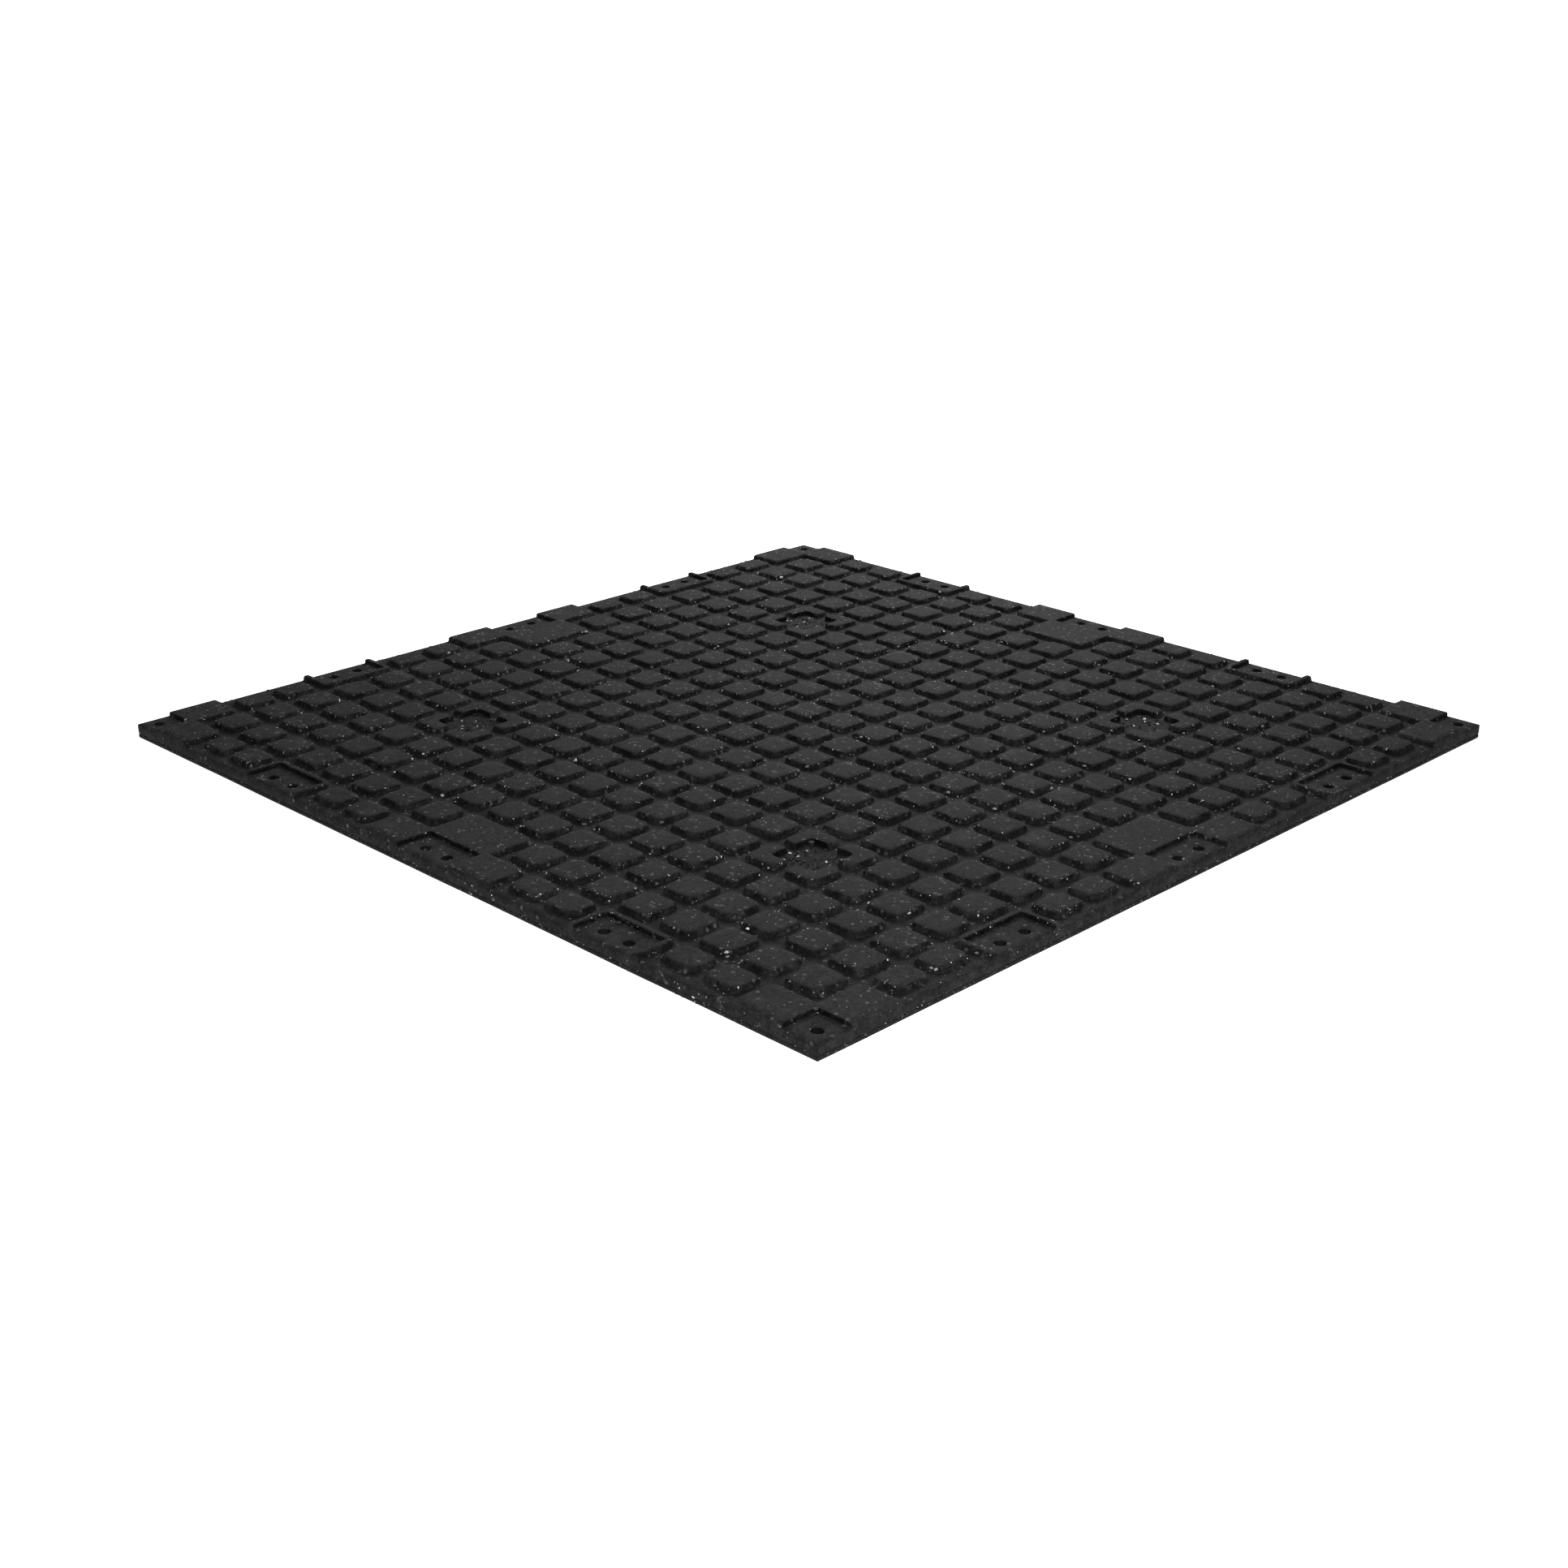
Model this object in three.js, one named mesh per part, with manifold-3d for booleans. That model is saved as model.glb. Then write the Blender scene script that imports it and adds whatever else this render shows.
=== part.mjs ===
// A square rubber floor tile that joins to its neighbours, lying with its studded underside up.
// Millimetres, +Z up. The origin is the middle of the flat walking face, which lies on the ground.
//
// The tile is pressed in one mould from two layers: a thin dense walking layer, and a base of
// coarser granules that carries everything moulded into the underside. Square studs cover it.
// Along each side, and at each corner, raised blocks hold half or a quarter of a square pocket.
// Two or four tiles laid together close a whole pocket, and a plate with four pins locks them.
import * as THREE from 'three';
import { mergeVertices } from 'three/addons/utils/BufferGeometryUtils.js';
import Module from 'manifold-3d';

const wasm = await Module();
wasm.setup();

// Stud grid
const studsPerSide = 20; // a multiple of four, so that three lines between studs quarter each side
const studPitch = 50;
const studWidth = 38; // across the flat top
const studDraft = 0.5; // how much further out each wall stands at the channel floor
const edgeLand = 14; // low strip between the tile's edge and the first plain stud

// Heights
const tileThickness = 20;
const walkingLayer = 5;
const studHeight = 5.5;
const pocketDrop = 4.5; // from the stud tops down to a pocket's floor
const pinHoleSkin = 1.5; // base rubber left under a blind pin hole

// Pockets for the joining plates
const plateWidth = 75;
const plateClearance = 0.5; // on each side of the plate
const rimWidth = 6;
const pinSpacing = 32; // between the plate's four pins, both ways
const pinHoleRadius = 5.5;
const pinHoleSides = 16;

// Square recesses where four studs meet, one in each quarter of the tile
const recessWidth = 54;
const recessCorner = 5;
const cornerSteps = 2;

// What follows from them
const tileSize = studsPerSide * studPitch;
const tileHalf = tileSize / 2;
const channelFloor = tileThickness - studHeight;
const pocketFloor = tileThickness - pocketDrop;
const pinHoleFloor = walkingLayer + pinHoleSkin;
const pocketHalf = plateWidth / 2 + plateClearance;
const blockReach = pocketHalf + rimWidth; // from the tile's edge to a block's inner wall
const pinInset = pinSpacing / 2; // from the tile's edge to a pin hole's centre
const quarterLine = studsPerSide / 4;
const middleLine = studsPerSide / 2;
const rooting = 2; // raised shapes start this far under the channel floor, to join the slab
const overshoot = 10; // cutters run this far past the faces they open

const studStart = k => -tileHalf + k * studPitch + (studPitch - studWidth) / 2;
const studEnd = k => studStart(k) + studWidth;
const lineAt = k => -tileHalf + k * studPitch;

function solidFrom(geometry) {
  const plain = geometry.index ? geometry.toNonIndexed() : geometry.clone();
  plain.deleteAttribute('normal');
  plain.deleteAttribute('uv');
  const merged = mergeVertices(plain);
  const mesh = new wasm.Mesh({
    numProp: 3,
    vertProperties: new Float32Array(merged.attributes.position.array),
    triVerts: new Uint32Array(merged.index.array),
  });
  return new wasm.Manifold(mesh);
}

function geometryFrom(solid) {
  const mesh = solid.getMesh();
  const geometry = new THREE.BufferGeometry();
  geometry.setAttribute('position', new THREE.BufferAttribute(mesh.vertProperties, mesh.numProp));
  geometry.setIndex(new THREE.BufferAttribute(mesh.triVerts, 1));
  geometry.computeVertexNormals();
  return geometry;
}

function box(x0, x1, y0, y1, z0, z1) {
  const geometry = new THREE.BoxGeometry(x1 - x0, y1 - y0, z1 - z0);
  geometry.translate((x0 + x1) / 2, (y0 + y1) / 2, (z0 + z1) / 2);
  return geometry;
}

// A stud: its walls lean out from the flat top, and run on under the channel floor at the same slope.
function studGeometry(x0, x1, y0, y1) {
  const depth = studHeight + rooting;
  const flare = studDraft * depth / studHeight;
  const geometry = box(x0, x1, y0, y1, channelFloor - rooting, tileThickness);
  const corners = geometry.attributes.position;
  for (let i = 0; i < corners.count; i += 1) {
    if (corners.getZ(i) > channelFloor) continue;
    const outX = Math.sign(corners.getX(i) - (x0 + x1) / 2);
    const outY = Math.sign(corners.getY(i) - (y0 + y1) / 2);
    corners.setX(i, corners.getX(i) + outX * flare);
    corners.setY(i, corners.getY(i) + outY * flare);
  }
  return geometry;
}

// The blocks stand in place of some studs: three at each corner, two round each side pocket at a
// quarter of the side, and six in the middle of each side, four of them in the outer row.
function isReplaced(column, row) {
  const rowsIn = Math.min(row, studsPerSide - 1 - row);
  const columnsIn = Math.min(column, studsPerSide - 1 - column);
  const nearLine = (index, line, reach) => Math.abs(index + 0.5 - line) < reach;
  const besideLine = (index, indexIn, inward) => {
    const quarter = nearLine(indexIn, quarterLine, 1);
    const middle = nearLine(index, middleLine, 2);
    const middleInner = nearLine(index, middleLine, 1);
    return (inward === 0 && (quarter || middle)) || (inward === 1 && middleInner);
  };
  const atCorner = columnsIn + rowsIn < 2;
  return atCorner || besideLine(column, columnsIn, rowsIn) || besideLine(row, rowsIn, columnsIn);
}

function studs() {
  const first = -tileHalf + edgeLand;
  const last = tileHalf - edgeLand;
  const solids = [];
  for (let row = 0; row < studsPerSide; row += 1) {
    for (let column = 0; column < studsPerSide; column += 1) {
      if (isReplaced(column, row)) continue;
      const x0 = Math.max(studStart(column), first);
      const x1 = Math.min(studEnd(column), last);
      const y0 = Math.max(studStart(row), first);
      const y1 = Math.min(studEnd(row), last);
      solids.push(solidFrom(studGeometry(x0, x1, y0, y1)));
    }
  }
  return solids;
}

// One side's blocks, for the side at -Y. The corner block is L-shaped, and the middle one T-shaped.
function sideBlocks() {
  const bottom = channelFloor - rooting;
  const edge = -tileHalf;
  const inner = edge + blockReach;
  const rimHalf = pocketHalf + rimWidth;
  const raised = (x0, x1, y1) => solidFrom(box(x0, x1, edge, y1, bottom, tileThickness));
  const rim = line => raised(lineAt(line) - rimHalf, lineAt(line) + rimHalf, inner);
  return [
    raised(edge, studEnd(1), inner),
    raised(edge, edge + blockReach, studEnd(1)),
    rim(quarterLine),
    rim(studsPerSide - quarterLine),
    raised(studStart(middleLine - 2), studEnd(middleLine + 1), inner),
    raised(studStart(middleLine - 1), studEnd(middleLine), studEnd(1)),
  ];
}

// One side's share of the pockets, each cut down into a block and open to the tile's edge.
function sidePockets() {
  const top = tileThickness + overshoot;
  const outside = -tileHalf - overshoot;
  const inner = -tileHalf + pocketHalf;
  const pocket = (x0, x1) => solidFrom(box(x0, x1, outside, inner, pocketFloor, top));
  const onLine = line => pocket(lineAt(line) - pocketHalf, lineAt(line) + pocketHalf);
  const corner = pocket(outside, inner);
  return [corner, onLine(quarterLine), onLine(middleLine), onLine(studsPerSide - quarterLine)];
}

function pinHole(x, y) {
  const depth = tileThickness - pinHoleFloor;
  const geometry = new THREE.CylinderGeometry(pinHoleRadius, pinHoleRadius, depth, pinHoleSides);
  geometry.rotateX(Math.PI / 2);
  geometry.translate(x, y, pinHoleFloor + depth / 2);
  return solidFrom(geometry);
}

function sidePinHoles() {
  const y = -tileHalf + pinInset;
  const holes = [pinHole(-tileHalf + pinInset, y)];
  for (const line of [quarterLine, middleLine, studsPerSide - quarterLine]) {
    holes.push(pinHole(lineAt(line) - pinInset, y));
    holes.push(pinHole(lineAt(line) + pinInset, y));
  }
  return holes;
}

// The four sides are alike: what one side has is turned onto each of them.
function onEverySide(solids) {
  const turns = [0, 90, 180, 270];
  return turns.flatMap(angle => solids.map(solid => solid.rotate([0, 0, angle])));
}

function recesses() {
  const half = recessWidth / 2;
  const straight = half - recessCorner;
  const outline = new THREE.Shape();
  outline.moveTo(-straight, -half);
  outline.absarc(straight, -straight, recessCorner, -Math.PI / 2, 0);
  outline.absarc(straight, straight, recessCorner, 0, Math.PI / 2);
  outline.absarc(-straight, straight, recessCorner, Math.PI / 2, Math.PI);
  outline.absarc(-straight, -straight, recessCorner, Math.PI, Math.PI * 1.5);
  const geometry = new THREE.ExtrudeGeometry(outline, {
    depth: studHeight + 2 * overshoot,
    bevelEnabled: false,
    curveSegments: cornerSteps,
  });
  geometry.translate(0, 0, channelFloor - overshoot);
  const quarter = lineAt(studsPerSide - quarterLine);
  const centres = [[quarter, quarter], [-quarter, quarter], [-quarter, -quarter], [quarter, -quarter]];
  return centres.map(([x, y]) => solidFrom(geometry).translate([x, y, 0]));
}

function studdedBase() {
  const join = (all, solid) => all.add(solid);
  const cut = (rest, solid) => rest.subtract(solid);
  const slab = solidFrom(box(-tileHalf, tileHalf, -tileHalf, tileHalf, walkingLayer, channelFloor));
  const raised = [...studs(), ...onEverySide(sideBlocks())].reduce(join);
  const carved = recesses().reduce(cut, raised);
  const holes = [...onEverySide(sidePockets()), ...onEverySide(sidePinHoles())];
  return geometryFrom(holes.reduce(cut, slab.add(carved)));
}

function rubber(color, roughness) {
  return new THREE.MeshStandardMaterial({ color, roughness, metalness: 0 });
}

function piece(name, geometry, material) {
  const mesh = new THREE.Mesh(geometry, material);
  mesh.name = name;
  return mesh;
}

const group = new THREE.Group();
group.add(piece('studded_base', studdedBase(), rubber(0x2b2b2c, 0.9)));

const walking = piece(
  'walking_layer',
  new THREE.BoxGeometry(tileSize, tileSize, walkingLayer),
  rubber(0x252526, 0.85),
);
walking.position.z = walkingLayer / 2;
group.add(walking);

export default group;
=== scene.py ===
# %% [markdown]
# # A studded rubber floor tile
#
# The tile is one metre square and 20 mm thick. It lies with its underside up, so we see the
# studs that hold it off a sub-floor and let water run away beneath it. It is pressed in one mould
# from shredded rubber and glue, in two layers: a coarse base with the studs, and a thin fine
# layer that people walk on, which is face down here.
#
# The CAD model gives every position. This script gives the rubber its rounded edges, its grain
# and its pale flecks.

import bmesh
import bpy
import numpy as np
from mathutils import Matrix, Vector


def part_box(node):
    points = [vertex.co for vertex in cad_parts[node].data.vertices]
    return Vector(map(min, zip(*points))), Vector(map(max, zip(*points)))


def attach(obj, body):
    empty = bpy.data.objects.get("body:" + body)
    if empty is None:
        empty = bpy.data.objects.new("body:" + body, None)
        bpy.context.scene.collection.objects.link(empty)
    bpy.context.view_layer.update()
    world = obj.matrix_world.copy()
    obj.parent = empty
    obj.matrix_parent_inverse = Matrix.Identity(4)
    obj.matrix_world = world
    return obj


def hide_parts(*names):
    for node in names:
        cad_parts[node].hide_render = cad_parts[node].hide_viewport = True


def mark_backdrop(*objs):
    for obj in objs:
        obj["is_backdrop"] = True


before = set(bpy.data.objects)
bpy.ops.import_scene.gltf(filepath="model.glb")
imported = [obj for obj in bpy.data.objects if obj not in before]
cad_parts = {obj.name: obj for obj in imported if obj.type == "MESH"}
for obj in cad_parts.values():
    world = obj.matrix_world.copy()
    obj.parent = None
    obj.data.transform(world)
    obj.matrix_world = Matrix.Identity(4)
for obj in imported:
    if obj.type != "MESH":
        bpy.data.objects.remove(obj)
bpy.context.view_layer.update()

MM = 0.001
base_low, base_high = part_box("studded_base")
layer_low, layer_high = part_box("walking_layer")
SIDE = (base_high.x - base_low.x) / MM
SEAM = base_low.z / MM
CAD_TOP = base_high.z / MM
print(f"tile {SIDE:.0f} mm square, {CAD_TOP:.0f} mm thick, layers meet at {SEAM:.0f} mm")
print(f"walking layer {(layer_high.z - layer_low.z) / MM:.0f} mm thick")

# %% [markdown]
# ## Camera, floor and light
#
# The tile is nearly black, so what shows its shape is the difference between flat tops and
# upright walls. A wide, weak lamp stands for a studio ceiling. One softbox behind the tile, a
# little to the right, lights the tops and leaves the front walls dark. A weaker one in front
# lifts the nearest of those walls. Both are large, since small lamps would draw hard shadows
# into channels that are only a few millimetres deep.
#
# The sky is brighter in a low band, which can't shine into the channels. Higher up it is dim.

# %% Camera
CAMERA_PLACE = (-1.564, -1.530, 0.814)
CAMERA_HEADING = 45.05
CAMERA_DOWN = 21.6
CAMERA_LENS = 50.8


def add_camera():
    """A camera looking along the heading (degrees from +X towards +Y) and down from level."""
    data = bpy.data.cameras.new("view")
    data.lens = CAMERA_LENS
    camera = bpy.data.objects.new("view", data)
    camera.location = CAMERA_PLACE
    camera.rotation_euler = (np.radians(90 - CAMERA_DOWN), 0, np.radians(CAMERA_HEADING - 90))
    bpy.context.scene.collection.objects.link(camera)
    bpy.context.scene.camera = camera
    return camera


add_camera()
print("camera", CAMERA_PLACE)

# %% Floor, lamp and sky
FLOOR_HALF = 40.0
FLOOR_GLOW = 0.9
SKY_LOW = 0.58
SKY_HIGH = 0.17
SKY_BAND = (0.10, 0.40)
CEILING_WIDTH = 0.9


def add_lamp(name, kind, place, strength, width):
    """A lamp aimed at the middle of the tile. A sun's width is an angle, a softbox's a side."""
    data = bpy.data.lights.new(name, kind)
    data.energy = strength
    if kind == "SUN":
        data.angle = width
    else:
        data.size = width
    lamp = bpy.data.objects.new(name, data)
    lamp.location = place
    aim = -lamp.location.normalized()
    lamp.rotation_euler = aim.to_track_quat("-Z", "Y").to_euler()
    bpy.context.scene.collection.objects.link(lamp)
    return lamp


def add_sky():
    """SKY_LOW up to the first height of SKY_BAND, then fading to SKY_HIGH at the second.

    A direction's height is its z, the sine of its angle above the horizon.
    """
    sky = bpy.data.worlds.new("sky")
    sky.use_nodes = True
    tree = sky.node_tree
    direction = tree.nodes.new("ShaderNodeTexCoord")
    height = tree.nodes.new("ShaderNodeSeparateXYZ")
    fade = tree.nodes.new("ShaderNodeMapRange")
    sockets = ("From Min", "From Max", "To Min", "To Max")
    for socket, value in zip(sockets, (*SKY_BAND, SKY_LOW, SKY_HIGH)):
        fade.inputs[socket].default_value = value
    tree.links.new(direction.outputs["Generated"], height.inputs[0])
    tree.links.new(height.outputs["Z"], fade.inputs["Value"])
    tree.nodes["Background"].inputs["Color"].default_value = (1, 1, 1, 1)
    tree.links.new(fade.outputs["Result"], tree.nodes["Background"].inputs["Strength"])
    bpy.context.scene.world = sky


def floor_material():
    """White and matte, and glowing a little like a light table, so that it's white far away too."""
    material = bpy.data.materials.new("pale_floor")
    material.use_nodes = True
    shader = material.node_tree.nodes["Principled BSDF"]
    shader.inputs["Base Color"].default_value = (0.9, 0.9, 0.9, 1)
    shader.inputs["Roughness"].default_value = 0.8
    shader.inputs["Specular IOR Level"].default_value = 0.1
    shader.inputs["Emission Color"].default_value = (1, 1, 1, 1)
    shader.inputs["Emission Strength"].default_value = FLOOR_GLOW
    return material


def add_floor():
    """A large flat square just under the tile."""
    corners = [(x * FLOOR_HALF, y * FLOOR_HALF, 0) for x, y in ((-1, -1), (1, -1), (1, 1), (-1, 1))]
    mesh = bpy.data.meshes.new("floor")
    mesh.from_pydata(corners, [], [(0, 1, 2, 3)])
    mesh.materials.append(floor_material())
    floor = bpy.data.objects.new("floor", mesh)
    bpy.context.scene.collection.objects.link(floor)
    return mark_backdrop(floor)


add_sky()
bpy.context.scene.view_settings.view_transform = "Standard"
add_lamp("ceiling", "SUN", (0.45, 0.42, 1.0), 1.0, CEILING_WIDTH)
add_lamp("front_softbox", "AREA", (-0.9, -1.2, 0.7), 13.0, 0.5)
add_lamp("back_softbox", "AREA", (1.05, 0.72, 0.95), 24.5, 0.6)
add_floor()
print("stage set")

# %% [markdown]
# ## The shape of the underside
#
# Seen from above, the underside is a drawing of squares, and its height is a function of place:
# no wall leans over. So one surface carries all of it: a grid of straight lines in both
# directions, and a height for each crossing. Even spacing would waste nearly all the points on
# flat rubber, so lines are put only where the surface bends: at the foot of a wall, at its top,
# and at both ends of the round edge above it.
#
# All plan sizes are in millimetres from the tile's front left corner.

# %% Plan sizes
STUDS = 20
PITCH = SIDE / STUDS
STUD = 38.0
GAP = PITCH - STUD
LAND = 14.0
REACH = 44.0
POCKET = 38.0
PIN = 16.0
HOLE = 5.5
RECESS = 27.0
QUARTERS = np.array([0.25, 0.5, 0.75]) * SIDE
MIDDLE = SIDE / 2

# How far a granule may stand out of the rubber. The skin stays that far inside the tile's box.
PROUD = 0.3

# Heights above the ground.
TOP = CAD_TOP - PROUD
CHANNEL = CAD_TOP - 5.5
POCKET_FLOOR = CAD_TOP - 4.5
HOLE_FLOOR = SEAM + 1.5
random = np.random.default_rng(20)
print(f"{STUDS} studs a side, {PITCH:.0f} mm apart")

# %% Where a wall bends
# Each row is a distance inwards from the wall's line, and the share of the wall's height there.
WALL = np.array([[-2.0, 0.0], [-0.9, 0.13], [-0.1, 0.72], [0.5, 0.93], [1.7, 1.0]])
STUD_CORNER = 6.0

# The walls of pits go by distance outwards: floor, shoulder and the surface above. ROUNDING is
# how far the shoulder lies under that surface.
PIT_WALL = np.array([-0.4, 0.1, 0.9])
ROUNDING = 0.35
POCKET_CORNER = 2.5
RECESS_CORNER = 5.0
HOLE_RINGS = np.array([0.0, 2.6, 5.1, 5.5, 6.0])
EDGE_ROUND = 0.7

stud_bends = np.append(WALL[:, 0], STUD_CORNER)
pocket_bends = np.append(PIT_WALL, -POCKET_CORNER)
recess_bends = np.append(PIT_WALL, [-RECESS_CORNER, -RECESS_CORNER / 2])
hole_bends = np.append(HOLE_RINGS, -HOLE_RINGS[1:])


def lines_at(places, bends):
    """Every place plus every bend: all the grid lines that those walls need."""
    return np.add.outer(np.atleast_1d(places), bends).ravel()


# %% Grid lines
def stud_lines(first, last):
    """Lines for the studs of columns first to last - 1: rising walls, then falling ones."""
    starts = np.arange(first, last) * PITCH + GAP / 2
    return np.concatenate([lines_at(starts, stud_bends), lines_at(starts + STUD, -stud_bends)])


def border_lines():
    """Lines across the outer 50 mm: edge, pin hole, outer stud and pocket wall."""
    return np.unique(np.round(np.concatenate([
        [0, EDGE_ROUND, PITCH],
        lines_at(PIN, hole_bends),
        lines_at(LAND, stud_bends),
        lines_at(POCKET, pocket_bends),
        lines_at(GAP / 2 + STUD, -stud_bends),
    ]), 3))


def strip_lines():
    """Lines along a border strip, from the tile's corner to one pitch short of the next."""
    along = np.concatenate([
        stud_lines(1, STUDS - 1),
        lines_at(QUARTERS + POCKET, pocket_bends),
        lines_at(QUARTERS - POCKET, -pocket_bends),
        lines_at(QUARTERS + PIN, hole_bends),
        lines_at(QUARTERS - PIN, hole_bends),
        [SIDE - PITCH],
    ])
    return np.unique(np.round(np.concatenate([border_lines(), along]), 3))


def field_lines():
    """Lines over the middle of the tile: studs, and the walls of the four square recesses."""
    recess_places = QUARTERS[[0, 2]]
    return np.unique(np.round(np.concatenate([
        stud_lines(1, STUDS - 1),
        lines_at(recess_places + RECESS, recess_bends),
        lines_at(recess_places - RECESS, -recess_bends),
    ]), 3))


print(len(border_lines()), "lines across,", len(strip_lines()), "along")
print(len(field_lines()), "over the middle")

# %% [markdown]
# ## Heights
#
# A point's height comes from how far it lies from the nearest outline. For a rectangle we take
# the larger of the two offsets past its sides. That gives square rings round it, and square
# rings fall exactly on the grid lines. Blocks, rims and studs join by taking the smallest
# distance, and pockets, recesses and holes are then cut by taking the lowest height.


# %% Distance to a rectangle
def past_box(u, v, box):
    """The larger offset past a rectangle's sides; negative inside. box = (u0, u1, v0, v1)."""
    u0, u1, v0, v1 = box
    past_u = np.abs(u - (u0 + u1) / 2) - (u1 - u0) / 2
    past_v = np.abs(v - (v0 + v1) / 2) - (v1 - v0) / 2
    return np.maximum(past_u, past_v)


def turned(u, v, turns):
    """Where a point lies as seen from another side: a quarter turn about the middle, repeated."""
    for _ in range(turns):
        u, v = v, SIDE - u
    return u, v


# %% Raised blocks, rims and studs
OUTSIDE = -20.0
arm = GAP / 2 + PITCH + STUD
side_blocks = [
    (OUTSIDE, arm, OUTSIDE, REACH),
    (OUTSIDE, REACH, OUTSIDE, arm),
    (QUARTERS[0] - REACH, QUARTERS[0] + REACH, OUTSIDE, REACH),
    (QUARTERS[2] - REACH, QUARTERS[2] + REACH, OUTSIDE, REACH),
    (MIDDLE - arm, MIDDLE + arm, OUTSIDE, REACH),
    (MIDDLE - REACH, MIDDLE + REACH, OUTSIDE, arm),
]


def edge_distance(u, v):
    """How far a point lies in from the nearest edge of the tile."""
    return np.minimum(np.minimum(u, SIDE - u), np.minimum(v, SIDE - v))


def past_raised(u, v):
    """Distance past everything raised: the repeating stud, cut back at the edge, and the blocks."""
    across = np.abs(u % PITCH - PITCH / 2)
    along = np.abs(v % PITCH - PITCH / 2)
    nearest = np.maximum(np.maximum(across, along) - STUD / 2, LAND - edge_distance(u, v))
    for turns in range(4):
        side_u, side_v = turned(u, v, turns)
        for block in side_blocks:
            nearest = np.minimum(nearest, past_box(side_u, side_v, block))
    return nearest


# %% Pockets, recesses and holes
side_pockets = [(OUTSIDE, POCKET, OUTSIDE, POCKET)]
side_pockets += [(line - POCKET, line + POCKET, OUTSIDE, POCKET) for line in QUARTERS]
side_holes = [(PIN, PIN)] + [(line + way * PIN, PIN) for line in QUARTERS for way in (-1, 1)]
recess_middles = [(u, v) for u in QUARTERS[[0, 2]] for v in QUARTERS[[0, 2]]]


def cut(height, past, bends, levels):
    """Lowers a surface to a pit's wall and floor, wherever the pit reaches."""
    wall = np.interp(past, bends, levels)
    return np.where(past < bends[-1], np.minimum(height, wall), height)


def around(middle, half):
    """The square of that half width about a point, as (u0, u1, v0, v1)."""
    return (middle[0] - half, middle[0] + half, middle[1] - half, middle[1] + half)


def surface_height(u, v):
    """Height of the rubber over a place in the plan, in millimetres above the ground."""
    share = np.interp(-past_raised(u, v), WALL[:, 0], WALL[:, 1])
    height = CHANNEL + (TOP - CHANNEL) * share
    shoulder = TOP - ROUNDING
    for middle in recess_middles:
        past = past_box(u, v, around(middle, RECESS))
        height = cut(height, past, PIT_WALL, [CHANNEL, shoulder, TOP])
    for turns in range(4):
        side_u, side_v = turned(u, v, turns)
        for pocket in side_pockets:
            past = past_box(side_u, side_v, pocket)
            height = cut(height, past, PIT_WALL, [POCKET_FLOOR, shoulder, TOP])
        for hole in side_holes:
            past = past_box(side_u, side_v, around(hole, 0))
            levels = [HOLE_FLOOR, POCKET_FLOOR - ROUNDING, POCKET_FLOOR]
            height = cut(height, past, HOLE_RINGS[2:], levels)
    edge_drop = EDGE_ROUND * np.clip(1 - edge_distance(u, v) / EDGE_ROUND, 0, 1)
    return height - edge_drop


print("height over a stud", surface_height(np.array([225.0]), np.array([175.0])).round(2))

# %% [markdown]
# ## Rounding the corners in plan
#
# A grid of straight lines can only draw square corners. Instead of adding points, the lines are
# bent: near a corner, each square ring is pulled onto a circle about the corner's centre. A
# round pin hole is the same thing with all four corners meeting in its middle.


# %% Bending square rings into round ones
def round_corner(a, b, hold, fade):
    """Moves offsets (a, b) from a corner's centre so that square rings become circles.

    ring = the larger offset. The smaller one, as a share of it, becomes an angle of 0 to 45
    degrees, and the point goes to that angle on a circle of radius ring. The bend is whole out
    to ring = hold and gone at ring = fade. Points that aren't past the centre both ways stay.
    """
    ring = np.maximum(a, b)
    inside = (a > 0) & (b > 0) & (ring < fade)
    ring = np.where(inside, ring, 1)
    angle = np.pi / 4 * np.minimum(a, b) / ring
    longer = ring * np.cos(angle)
    shorter = ring * np.sin(angle)
    weight = np.where(inside, np.clip((fade - ring) / (fade - hold), 0, 1), 0)
    move_a = weight * (np.where(a >= b, longer, shorter) - a)
    move_b = weight * (np.where(a >= b, shorter, longer) - b)
    return np.where(inside, move_a, 0), np.where(inside, move_b, 0)


def round_box(u, v, box, radius, hold, fade):
    """The moves that round a rectangle's four corners to that radius."""
    u0, u1, v0, v1 = box
    off_u, off_v = u - (u0 + u1) / 2, v - (v0 + v1) / 2
    a = np.abs(off_u) - (u1 - u0) / 2 + radius
    b = np.abs(off_v) - (v1 - v0) / 2 + radius
    move_a, move_b = round_corner(a, b, radius + hold, radius + fade)
    return move_a * np.sign(off_u), move_b * np.sign(off_v)


# %% Which stud corners are round
def round_stud_flags():
    """For each stud and each of its corners: true where both walls end there.

    A corner that is merged into a block, or cut away by a recess, stays as it is. Two probes
    beside the corner tell: both have to land in a channel.
    """
    index = np.arange(STUDS)
    flags = np.zeros((STUDS, STUDS, 2, 2), bool)
    probe = 3.0
    for side_u in (0, 1):
        for side_v in (0, 1):
            su, sv = 2 * side_u - 1, 2 * side_v - 1
            u = (index[:, None] + 0.5) * PITCH + su * stud_half[:, side_u][:, None]
            v = (index[None, :] + 0.5) * PITCH + sv * stud_half[:, side_v][None, :]
            u, v = np.broadcast_arrays(u, v)
            beside_u = past_raised(u + su * probe, v - sv * probe) > 0
            beside_v = past_raised(u - su * probe, v + sv * probe) > 0
            kept = np.ones(u.shape, bool)
            for middle in recess_middles:
                kept &= past_box(u, v, around(middle, RECESS)) > 0
            flags[:, :, side_u, side_v] = beside_u & beside_v & kept
    return flags


stud_half = np.full((STUDS, 2), STUD / 2)
stud_half[0, 0] = stud_half[-1, 1] = PITCH / 2 - LAND
round_stud = round_stud_flags()
print(round_stud.sum(), "round stud corners")


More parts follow.
